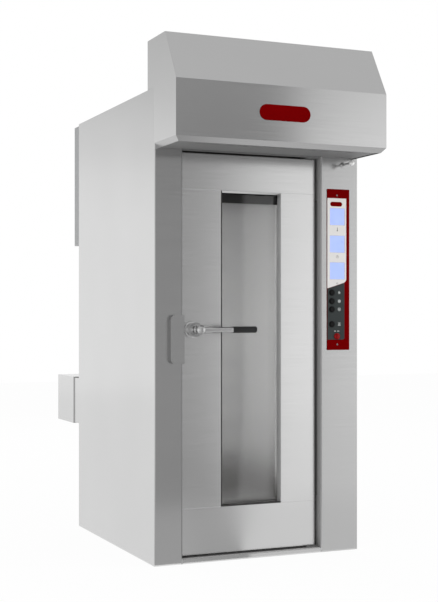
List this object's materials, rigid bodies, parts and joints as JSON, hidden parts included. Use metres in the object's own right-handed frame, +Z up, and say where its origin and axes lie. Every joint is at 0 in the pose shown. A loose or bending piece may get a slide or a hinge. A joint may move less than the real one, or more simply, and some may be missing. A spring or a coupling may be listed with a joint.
{
  "type": "rotating rack oven",
  "caption": "Walk-up bakery oven with a recessed side-hung door, tall window, turning rack hook, steam hood and rear burner.",
  "frame": {"origin": "on the floor under the middle of the whole oven's box, hood and burner cover included", "axes": "+Z up, -Y is the front with the door, +X is the right side with the controls"},
  "size_m": [1.1, 1.9264, 2.5],
  "materials": {
    "stainless": "satin brushed stainless sheet",
    "liner": "plain mill-finish stainless liner sheet",
    "polished_steel": "polished stainless",
    "galvanised": "galvanised sheet",
    "hood_underside": "satin stainless tray",
    "heat_steel": "heat-tinted steel",
    "cast_iron": "dark cast iron",
    "casing_paint": "grey powder coat",
    "motor_paint": "blue-grey machine paint",
    "burner_paint": "red machine paint",
    "red_enamel": "dark red gloss enamel",
    "display": "pale blue display window",
    "black_plastic": "satin black key cap",
    "red_plastic": "red switch plastic",
    "grip": "black phenolic grip",
    "gasket": "dark silicone seal",
    "glass": "tinted toughened glass",
    "lamp_glass": "frosted lamp glass",
    "wool": "mineral wool"
  },
  "bodies": {
    "cabinet": {"base_tray": "stainless", "chamber_floor": "liner", "side_panel_left": "stainless", "side_panel_right": "stainless", "header_panel": "stainless", "rear_panel": "stainless", "roof_panel": "stainless", "door_frame": "liner", "chamber_liner": "liner", "ceiling_liner": "liner", "diffuser_wall": "liner", "wall_insulation": "wool", "roof_insulation": "wool", "rotor_bearing": "cast_iron", "rotor_gearmotor": "motor_paint", "chamber_lamp": "lamp_glass", "fan_motor": "motor_paint", "heat_exchanger": "heat_steel", "flue_pipe": "galvanised", "burner": "burner_paint", "steam_cascade": "cast_iron", "burner_cover": "stainless", "rear_casing": "casing_paint", "vent_duct": "galvanised", "hood_shell": "stainless", "hood_spigot": "galvanised", "hood_tray": "hood_underside", "hood_motor": "motor_paint", "badge_plate": "red_enamel", "control_panel": "red_enamel", "display_1": "display", "display_2": "display", "display_3": "display", "control_box": "galvanised", "pivot_upper": "polished_steel", "pivot_lower": "polished_steel", "keeper_plate": "stainless"},
    "door": {"door_skin_top": "stainless", "door_skin_bottom": "stainless", "door_skin_left": "stainless", "door_skin_right": "stainless", "door_insulation": "wool", "door_inner_panel": "liner", "glass_outer": "glass", "glass_inner": "glass", "door_gasket": "gasket", "handle_rose": "polished_steel"},
    "handle": {"handle_lever": "polished_steel", "handle_grip": "grip", "latch_tongue": "polished_steel"},
    "rack_rotor": {"rotor_hook": "heat_steel"},
    "air_fan": {"circulation_fan": "heat_steel"},
    "steam_fan": {"hood_fan": "galvanised"},
    "key_1": {"key_1": "black_plastic"},
    "key_2": {"key_2": "black_plastic"},
    "key_3": {"key_3": "black_plastic"},
    "key_4": {"key_4": "black_plastic"},
    "main_switch": {"main_switch": "red_plastic"},
    "vent_control": {"vent_rod": "polished_steel", "vent_knob": "polished_steel"}
  },
  "joints": [
    {"name": "door_swing", "type": "hinge", "parent": "cabinet", "child": "door", "pos_m": [0.314, -0.62385, 0], "axis": [0, 0, 1], "range_deg": [0, 100]},
    {"name": "handle_turn", "type": "hinge", "parent": "door", "child": "handle", "pos_m": [-0.345, -0.76485, 1.119], "axis": [0, 1, 0], "range_deg": [0, 75]},
    {"name": "rack_turn", "type": "hinge", "parent": "cabinet", "child": "rack_rotor", "pos_m": [-0.033, -0.15695, 1.97], "axis": [0, 0, 1], "continuous": true},
    {"name": "air_fan_turn", "type": "hinge", "parent": "cabinet", "child": "air_fan", "pos_m": [-0.033, 0.38115, 1.765], "axis": [0, 1, 0], "continuous": true},
    {"name": "steam_fan_turn", "type": "hinge", "parent": "cabinet", "child": "steam_fan", "pos_m": [0, -0.73885, 2.33], "axis": [0, 0, 1], "continuous": true},
    {"name": "key_1_press", "type": "slide", "parent": "cabinet", "child": "key_1", "axis": [0, 1, 0], "range_m": [0, 0.0025], "stiffness_N_per_m": 400, "springref_m": -0.002},
    {"name": "key_2_press", "type": "slide", "parent": "cabinet", "child": "key_2", "axis": [0, 1, 0], "range_m": [0, 0.0025], "stiffness_N_per_m": 400, "springref_m": -0.002},
    {"name": "key_3_press", "type": "slide", "parent": "cabinet", "child": "key_3", "axis": [0, 1, 0], "range_m": [0, 0.0025], "stiffness_N_per_m": 400, "springref_m": -0.002},
    {"name": "key_4_press", "type": "slide", "parent": "cabinet", "child": "key_4", "axis": [0, 1, 0], "range_m": [0, 0.0025], "stiffness_N_per_m": 400, "springref_m": -0.002},
    {"name": "main_switch_turn", "type": "hinge", "parent": "cabinet", "child": "main_switch", "pos_m": [0.428, -0.68885, 1.082], "axis": [0, 1, 0], "range_deg": [0, 90]},
    {"name": "vent_pull", "type": "slide", "parent": "cabinet", "child": "vent_control", "axis": [0, -1, 0], "range_m": [0, 0.09]}
  ]
}
